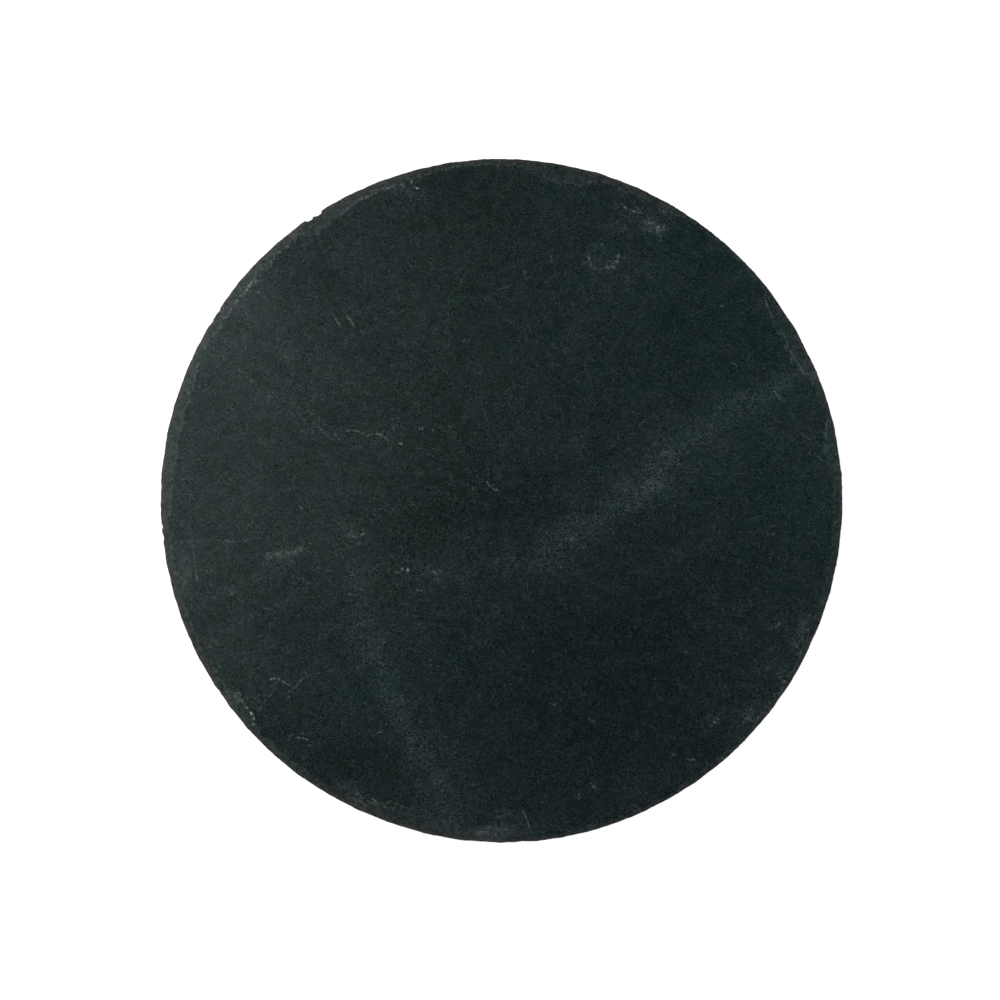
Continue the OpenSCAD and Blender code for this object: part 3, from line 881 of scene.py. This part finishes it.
def softSpots(x, y, spots):
    # each round patch adds its strength times exp(-(distance / radius)^2)
    total = np.zeros(x.shape)
    for px, py, radius, strength in spots:
        centreX, centreY = photoPoint(px, py)
        away = np.hypot(x - centreX, y - centreY) / (radius * metresPerPixel)
        total += strength * np.exp(-(away**2))
    return total


def veilStrength(x, y, lines):
    # For each stretch from A to B, h is the share along it of the nearest point; half width and
    # strength run evenly from A to B, and the veil is strength * exp(-(distance / half width)^2)
    total = np.zeros(x.shape)
    for line in lines:
        for start, end in zip(line[:-1], line[1:]):
            ax, ay = photoPoint(*start[:2])
            bx, by = photoPoint(*end[:2])
            length = (bx - ax) ** 2 + (by - ay) ** 2
            h = np.clip(((x - ax) * (bx - ax) + (y - ay) * (by - ay)) / length, 0, 1)
            away = np.hypot(x - ax - h * (bx - ax), y - ay - h * (by - ay))
            halfWidth = (start[2] + h * (end[2] - start[2])) * metresPerPixel
            strength = start[3] + h * (end[3] - start[3])
            total = np.maximum(total, strength * np.exp(-((away / halfWidth) ** 2)))
    return total


def paintSlate():
    # what each point of the stone carries for the material
    x, y = slatePoints[:, 0], slatePoints[:, 1]
    flat = onPlane(x, y)
    turn = np.arctan2(y, x)
    upper = slateSorts <= onWall
    bentX = x + swingField(flat, *marks["veilWander"], 3, 81)
    bentY = y + swingField(flat, *marks["veilWander"], 3, 82)
    grain, thinnest, swing = marks["veilPatches"]
    patchy = thinnest + swing * roughCloud(flat, grain, 3, 85)
    # the underside has clouds of tone and dust of its own
    underTone = swingField(flat, *marks["underClouds"], 3, 91) + marks["underLift"]
    grain, levels = marks["underDust"]
    underDust = smoothStep(0.52, 0.72, roughCloud(flat, grain, 3, 95)) * levels * patchy
    # share of the bluer colour: 0 to the left of the change line and 1 to its right
    topX, topY = photoPoint(*marks["changeLine"][0])
    lowX, lowY = photoPoint(*marks["changeLine"][1])
    lineX = topX + (y - topY) * (lowX - topX) / (lowY - topY)
    lineX = lineX - swingField(flat, *marks["changeWander"], 3, 87)
    half = marks["changeHalf"]
    weathered = marks["weatheredPx"] * metresPerPixel
    broken = (slateSorts >= onBand) & (slateSorts <= onLowerArris)
    painted = {
        "brokenEdge": np.where(slateSorts == besideArris, marks["nearlyBroken"], broken),
        # the broken edge's tone: paler broken stone, with painted light on the left-facing edge and painted
        # shade at the lower right
        "edgeLightAndTone": aroundRim(slate["edgeLightAndToneByDirection"], np.degrees(turn)),
        # pale crushed stone along the arris, with a painted highlight where the edge catches the light
        "bruiseAndHighlight": slateBruiseAndHighlight,
        "veil": np.where(upper, veilStrength(bentX, bentY, marks["veils"]) * patchy, underDust),
        # tone: the stone's own tone, with painted sheen and shade on the top, and the underside's clouds
        "tone": np.where(upper, softSpots(x, y, marks["tonesAndSheen"]), underTone),
        "redTint": softSpots(x, y, marks["redTints"]),
        "blueTint": softSpots(x, y, marks["blueTints"]),
        "hueDrift": 1 - softSpots(x, y, marks["evenHue"]),
        "rimNear": 1 - smoothStep(0, weathered, outlineRadius(turn) - np.hypot(x, y)),
        "bluer": smoothStep(-half, half, x - lineX),
    }
    for name, values in painted.items():
        setAttribute(slatePiece, name, values)


paintSlate()
print("slate painted")


stone = {
    # The stone's brightness is summed in levels, steps of the photo's 0 to 255 scale. Each root colour
    # plus levels * perLevel is squared, so that equal steps look equally large, and the share of it
    # that the surface mirrors is taken off to give the albedo
    "perLevel": 0.0022,
    "mirrored": 0.0015,
    "darkest": 0.0002,
    "left": (0.0724, 0.0959, 0.0938),      # greener, on the left
    "right": (0.0735, 0.0959, 0.0992),     # bluer, on the right
    "weathered": (0.0160, 0.0, -0.0050),   # added to the root near the outline
    "hueSwing": (0.038, 0.0, 0.028),       # from green to purple
    "hueGrain": 9 * mm,
    # size of the grain and the levels that its noise swings from end to end
    "grains": {
        "sand": (0.45 * mm, 1, 0.6, 82),
        "fine": (1.3 * mm, 2, 0.65, 31),
        "small": (3.2 * mm, 1, 0.5, 9),
        "middle": (7 * mm, 2, 0.55, 14),
        "broad": (30 * mm, 2, 0.5, 12),
    },
    "patchGrain": 3.6 * mm,                # patches where the fine grains are stronger
    "patchyBelow": 2 * mm,                 # a grain finer than this follows the patches
    "hairGrain": 2.4 * mm,
    "hairLevels": 8,
    "fleckGap": 7 * mm,
    "fleckLevels": 14,
    "edgeGrain": 2.2 * mm,
    "edgeSwing": 60,
    "rimLevels": 5,
    "bruiseAndHighlightLevels": 34,
    "strokeWander": 1.1 * mm,
    "roughness": (0.50, 0.56),
    "specular": 0.03,
    "faceBump": 0.05 * mm,
    "edgeBump": 0.12 * mm,
}


def strokeMask(tree, place, strokes):
    # Each straight stretch from A to B is a slim ellipse around them: with
    # slack = sqrt(|AB|^2 + 4 halfWidth^2) - |AB|, the mask is levels * (1 - (|PA| + |PB| - |AB|) / slack)
    total = 0.0
    for halfWidth, levels, line in strokes:
        corners = [Vector((*photoPoint(*corner), 0)) for corner in line]
        away = calcVector(tree, "DISTANCE", place, corners[0])
        for a, b in zip(corners[:-1], corners[1:]):
            nextAway = calcVector(tree, "DISTANCE", place, b)
            length = (b - a).length
            slack = math.hypot(length, 2 * halfWidth * metresPerPixel) - length
            both = calc(tree, "ADD", away, nextAway)
            mask = timesPlus(tree, both, -levels / slack, levels * (1 + length / slack))
            total = calc(tree, "MAXIMUM", total, mask)
            away = nextAway
    return total


def spotMask(tree, place, spots):
    # the mask falls evenly from each spot's levels in its middle to 0 at its radius
    total = 0.0
    for px, py, radius, levels in spots:
        middle = Vector((*photoPoint(px, py), 0))
        away = calcVector(tree, "DISTANCE", place, middle)
        mask = timesPlus(tree, away, -levels / (radius * metresPerPixel), levels)
        total = calc(tree, "MAXIMUM", total, mask)
    return total


def stoneMaterial():
    material, tree, shader, place = newMaterial("rivenSlateStone")
    noises = {}
    for name, (size, detail, rough, swing) in stone["grains"].items():
        noises[name] = lumps(tree, place, size, detail, rough)
    sand, fine, middle = noises["sand"], noises["fine"], noises["middle"]

    # the broken edge begins raggedly at the arris
    edgeNoise = lumps(tree, place, stone["edgeGrain"], 3, 0.7)
    ragged = timesPlus(tree, edgeNoise, 2.4, -1.2)
    broken = fade(tree, calc(tree, "ADD", readAttribute(tree, "brokenEdge"), ragged), 0.2, 0.75)

    # shade: the tone of the face, with its painted sheen and shade, or of the broken edge, with its painted
    # light, and the grain of the stone, stronger in patches
    tone = readAttribute(tree, "tone")
    mottled = centred(tree, edgeNoise, stone["edgeSwing"])
    edgeLightAndTone = calc(tree, "ADD", readAttribute(tree, "edgeLightAndTone"), mottled)
    shade = timesPlus(tree, broken, calc(tree, "SUBTRACT", edgeLightAndTone, tone), tone)
    patch = fade(tree, lumps(tree, place, stone["patchGrain"], 2, 0.5), 0.38, 0.62, 0.6, 1.4)
    patch = times(tree, patch, fade(tree, tone, -9, 0, 0.86, 1))
    for name, (size, detail, rough, swing) in stone["grains"].items():
        grain = centred(tree, noises[name], swing)
        shade = timesPlus(tree, grain, patch if size < stone["patchyBelow"] else 1.0, shade)

    # veils: crowds of pale specks and short hairs
    veil = readAttribute(tree, "veil")
    crumbs = fade(tree, sand, 0.42, 0.6, 0.2, 1.2)
    specks = timesPlus(tree, fade(tree, fine, 0.42, 0.62), 0.7, crumbs)
    shade = timesPlus(tree, veil, specks, shade)
    hairNoise = lumps(tree, place, stone["hairGrain"], 2, 0.6)
    hair = fade(tree, calc(tree, "ABSOLUTE", calc(tree, "SUBTRACT", hairNoise, 0.5)), 0.0, 0.04, 1, 0)
    hair = times(tree, hair, fade(tree, noises["small"], 0.48, 0.6))
    shade = timesPlus(tree, hair, timesPlus(tree, veil, 0.8, stone["hairLevels"]), shade)

    # scattered flecks: one in some cells
    cells = addNode(tree, "ShaderNodeTexVoronoi", {"Vector": place, "Scale": 1 / stone["fleckGap"]})
    chosen = fade(tree, cells.outputs["Color"], 0.6, 0.95)
    flecks = times(tree, fade(tree, cells.outputs["Distance"], 0.05, 0.12, 1, 0), chosen)
    shade = timesPlus(tree, flecks, stone["fleckLevels"], shade)

    # veins, scratches and spots, a little ragged and broken up, on the serving face alone
    swing = stone["strokeWander"]
    wander = lumps(tree, place, 2 * mm, 2, 0.6, colour=True)
    wander = calcVector(tree, "MULTIPLY_ADD", wander, (swing,) * 3, (-0.5 * swing,) * 3)
    bent = calcVector(tree, "MULTIPLY", calcVector(tree, "ADD", place, wander), (1, 1, 0))
    lines = strokeMask(tree, bent, marks["strokes"])
    lines = calc(tree, "MAXIMUM", lines, spotMask(tree, bent, marks["spots"]))
    height = addNode(tree, "ShaderNodeSeparateXYZ", {0: place}).outputs[2]
    lines = times(tree, lines, fade(tree, height, slateTop - 3 * mm, slateTop - 2 * mm))
    shade = timesPlus(tree, lines, fade(tree, fine, 0.4, 0.6, 0.4, 1.5), shade)

    # crushed line along the arris with a painted highlight on it, in bright dots and teeth with gaps
    # between
    dots = fade(tree, fine, 0.4, 0.6, 0.4, 1.6)
    teeth = times(tree, fade(tree, edgeNoise, 0.44, 0.58, 0.1, 1.4), dots)
    bruiseAndHighlight = times(tree, readAttribute(tree, "bruiseAndHighlight"), stone["bruiseAndHighlightLevels"])
    shade = timesPlus(tree, bruiseAndHighlight, teeth, shade)

    # colour: greener on the left, bluer on the right and browner along the weathered outline,
    # with small drifts of hue
    rimNear = readAttribute(tree, "rimNear")
    shade = timesPlus(tree, fade(tree, rimNear, 0.6, 1), stone["rimLevels"], shade)
    root = blend(tree, readAttribute(tree, "bluer"), stone["left"], stone["right"])
    worn = times(tree, times(tree, rimNear, broken), fade(tree, edgeNoise, 0.4, 0.56, 0.6, 1.1))
    hue = calc(tree, "SUBTRACT", lumps(tree, place, stone["hueGrain"], 3, 0.6, 0.5), 0.5)
    hue = times(tree, hue, readAttribute(tree, "hueDrift"))
    level = stone["perLevel"]
    added = [
        (worn, stone["weathered"]),
        (readAttribute(tree, "redTint"), (level, 0, 0)),
        (readAttribute(tree, "blueTint"), (0, 0, level)),
        (hue, stone["hueSwing"]),
        (shade, (level, level, level)),
    ]
    for share, colour in added:
        root = calcVector(tree, "MULTIPLY_ADD", share, colour, root)
    albedo = calcVector(tree, "MULTIPLY_ADD", root, root, (-stone["mirrored"],) * 3)
    albedo = calcVector(tree, "MAXIMUM", albedo, (stone["darkest"],) * 3)

    low, high = stone["roughness"]
    rough = timesPlus(tree, broken, 0.1, fade(tree, middle, 0.3, 0.7, low, high))
    shader.inputs["Specular IOR Level"].default_value = stone["specular"]
    relief = times(tree, fine, fade(tree, broken, 0, 1, stone["faceBump"], stone["edgeBump"]))
    dress(tree, shader, albedo, rough, relief)
    return material


slatePiece.data.materials.append(stoneMaterial())
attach(slatePiece, "root")
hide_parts("slate_board")
print("slate material built")


# Feet: moulded rubber pads, each stuck on with a thin film
feet = {
    "columns": 96,
    # half section in mm: distance from the middle and height, from the dimple in the base up to the top
    "section": [
        (0.8, 0.38), (1.5, 0.33), (1.9, 0.14), (2.15, 0.03), (2.5, 0), (3.4, 0.015), (4.2, 0.01), (4.6, 0),
        (4.86, 0.03), (5.1, 0.12), (5.32, 0.28), (5.5, 0.5), (5.62, 0.75), (5.74, 1.05), (5.88, 1.4),
        (5.98, 1.44), (6.02, 1.5), (5.98, 1.56), (6.06, 1.75), (6.26, 2.1), (6.48, 2.4), (6.68, 2.6),
        (6.86, 2.72), (6.94, 2.82), (6.92, 2.91), (6.82, 2.97), (6.6, 3), (5.5, 3), (3.5, 3), (1.5, 3),
    ],
    "waver": 0.03 * mm,        # how far the rubber strays from that section
    "hazeGrain": 4 * mm,
    "poreGrain": 0.35 * mm,
    "poreDepth": 0.08 * mm,
    "dustHeight": 0.5 * mm,    # the dust reaches this far up
    "black": (0.009, 0.009, 0.0095),
    "hazy": (0.017, 0.0165, 0.016),
    "dust": (0.09, 0.09, 0.085),
    "specular": 0.2,
}
films = {
    "columns": 96,
    "ragged": 0.16 * mm,       # how far the cut edge strays inward
    # half section: share of the radius, share of the thickness, share of the raggedness
    "section": [
        (0.3, 0, 0), (0.7, 0, 0), (0.95, 0, 0.5), (0.985, 0, 1), (1, 0.2, 1), (0.992, 0.5, 1), (1, 0.8, 1),
        (0.985, 1, 1), (0.95, 1, 0.5), (0.7, 1, 0), (0.3, 1, 0),
    ],
    "cloudGrain": 3 * mm,
    "bubbleGap": 0.9 * mm,
    "bubbleDepth": 0.05 * mm,
    "milky": (0.56, 0.54, 0.47),
    "thin": (0.46, 0.44, 0.38),
    "bubble": (0.68, 0.67, 0.62),
}


def turnedPiece(name, section, columns, middle, stray, seed):
    # Section points (distance from the axis, height) turned about the axis, closed at both ends by
    # a fan. Each point moves inward by its own share of the stray distances
    turn = np.arange(columns) * 2 * math.pi / columns
    radius = np.array([row[0] for row in section])[:, None] + 0 * turn
    height = np.array([row[1] for row in section])[:, None] + 0 * turn
    points = np.stack([radius * np.cos(turn), radius * np.sin(turn), height], -1)
    strayGrain = 1.8 * mm
    inward = roughCloud(points, strayGrain, 3, seed) * np.array(stray)[:, None]
    points[..., 0] -= inward * np.cos(turn)
    points[..., 1] -= inward * np.sin(turn)
    rings = np.arange(radius.size).reshape(len(section), columns)
    faces = []
    for lower, upper in zip(rings[:-1], rings[1:]):
        faces += np.stack([lower, np.roll(lower, -1), np.roll(upper, -1), upper], 1).tolist()
    ends = np.array([(0, 0, section[0][1]), (0, 0, section[-1][1])])
    base, top = radius.size, radius.size + 1
    faces += [(base, j, i) for i, j in zip(rings[0], np.roll(rings[0], -1))]
    faces += [(top, i, j) for i, j in zip(rings[-1], np.roll(rings[-1], -1))]
    return addMesh(name, np.concatenate([points.reshape(-1, 3), ends]) + np.array(middle), faces)


def rubberMaterial():
    # matt black rubber: faint mould haze, fine pores, and pale dust that the base picks up
    material, tree, shader, place = newMaterial("mouldedRubber")
    haze = lumps(tree, place, feet["hazeGrain"], 3, 0.6)
    pores = lumps(tree, place, feet["poreGrain"], 2, 0.6)
    colour = blend(tree, fade(tree, haze, 0.3, 0.7), feet["black"], feet["hazy"])
    height = addNode(tree, "ShaderNodeSeparateXYZ", {0: place}).outputs[2]
    dusty = times(tree, fade(tree, height, 0, feet["dustHeight"], 0.6, 0), fade(tree, pores, 0.45, 0.7))
    colour = blend(tree, dusty, colour, feet["dust"])
    shader.inputs["Specular IOR Level"].default_value = feet["specular"]
    rough = fade(tree, haze, 0.25, 0.75, 0.48, 0.66)
    dress(tree, shader, colour, rough, pores, 0.35, feet["poreDepth"])
    return material


def filmMaterial():
    # milky adhesive film with cloudy thin places and tiny trapped bubbles
    material, tree, shader, place = newMaterial("milkyFilm")
    clouds = lumps(tree, place, films["cloudGrain"], 3, 0.6)
    cells = addNode(tree, "ShaderNodeTexVoronoi", {"Vector": place, "Scale": 1 / films["bubbleGap"]})
    bubbles = cells.outputs["Distance"]
    colour = blend(tree, fade(tree, clouds, 0.3, 0.7), films["milky"], films["thin"])
    colour = blend(tree, fade(tree, bubbles, 0.1, 0.2, 0.5, 0), colour, films["bubble"])
    rough = fade(tree, clouds, 0.3, 0.7, 0.3, 0.5)
    dress(tree, shader, colour, rough, bubbles, 0.2, films["bubbleDepth"])
    return material


def addFeet():
    rubber = rubberMaterial()
    section = [(r * mm, z * mm) for r, z in feet["section"]]
    stray = [feet["waver"]] * len(section)
    for number, name in enumerate(footNames):
        middle = (*boxMiddle(name), 0)
        title = "rubberFoot" + str(number + 1)
        foot = turnedPiece(title, section, feet["columns"], middle, stray, 90 + number)
        foot.data.materials.append(rubber)
        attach(foot, "root")
        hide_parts(name)


def addFilms():
    milky = filmMaterial()
    stray = [share * films["ragged"] for r, z, share in films["section"]]
    for number, name in enumerate(filmNames):
        low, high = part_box(name)
        radius = (high.x - low.x) / 2
        middle = (*boxMiddle(name), 0)
        section = [(r * radius, low.z + z * (high.z - low.z)) for r, z, share in films["section"]]
        title = "adhesiveFilm" + str(number + 1)
        film = turnedPiece(title, section, films["columns"], middle, stray, 120 + number)
        film.data.materials.append(milky)
        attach(film, "root")
        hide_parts(name)


addFeet()
addFilms()
print("feet and films added")


floorLook = {
    "reach": 3,        # half its side
    "grain": 30 * mm,
    "roughness": 0.9,
    "specular": 0.1,
    "pale": (0.925, 0.925, 0.925),
    "mottle": (0.91, 0.91, 0.91),
}


def floorMaterial():
    # matt white backdrop board with the faintest paper mottle
    material, tree, shader, place = newMaterial("paleFloorBoard")
    mottle = lumps(tree, place, floorLook["grain"], 3, 0.6)
    colour = blend(tree, fade(tree, mottle, 0.3, 0.7), floorLook["pale"], floorLook["mottle"])
    tree.links.new(colour, shader.inputs["Base Color"])
    shader.inputs["Roughness"].default_value = floorLook["roughness"]
    shader.inputs["Specular IOR Level"].default_value = floorLook["specular"]
    return material


def addFloor():
    reach = floorLook["reach"]
    corners = [(-reach, -reach, 0), (reach, -reach, 0), (reach, reach, 0), (-reach, reach, 0)]
    floor = addMesh("paleFloor", np.array(corners, float), [(0, 1, 2, 3)])
    floor.data.materials.append(floorMaterial())


lights = {
    "world": (1.0, 1.0, 1.0, 1),
    "worldStrength": 1.25,
    # place, size and power of each softbox
    "leftSoftbox": ((-0.9, 0.3, 0.95), (0.8, 0.8), 12),
    "rightSoftbox": ((1.3, -0.2, 1.2), (1.2, 1.2), 14),
}


def addSoftbox(name):
    place, size, power = lights[name]
    data = bpy.data.lights.new(name, "AREA")
    data.shape = "RECTANGLE"
    data.size = size[0]
    data.size_y = size[1]
    data.energy = power
    lamp = bpy.data.objects.new(name, data)
    lamp.location = place
    # an area light shines along its own -Z: turn that towards the board
    lamp.rotation_euler = (-Vector(place)).to_track_quat("-Z", "Y").to_euler()
    bpy.context.scene.collection.objects.link(lamp)


def addStudio():
    addFloor()
    addSoftbox("leftSoftbox")
    addSoftbox("rightSoftbox")
    world = bpy.data.worlds.new("studio")
    world.use_nodes = True
    background = world.node_tree.nodes["Background"]
    background.inputs["Color"].default_value = lights["world"]
    background.inputs["Strength"].default_value = lights["worldStrength"]
    bpy.context.scene.world = world
    bpy.context.scene.view_settings.view_transform = "Standard"


addStudio()
print("studio built")
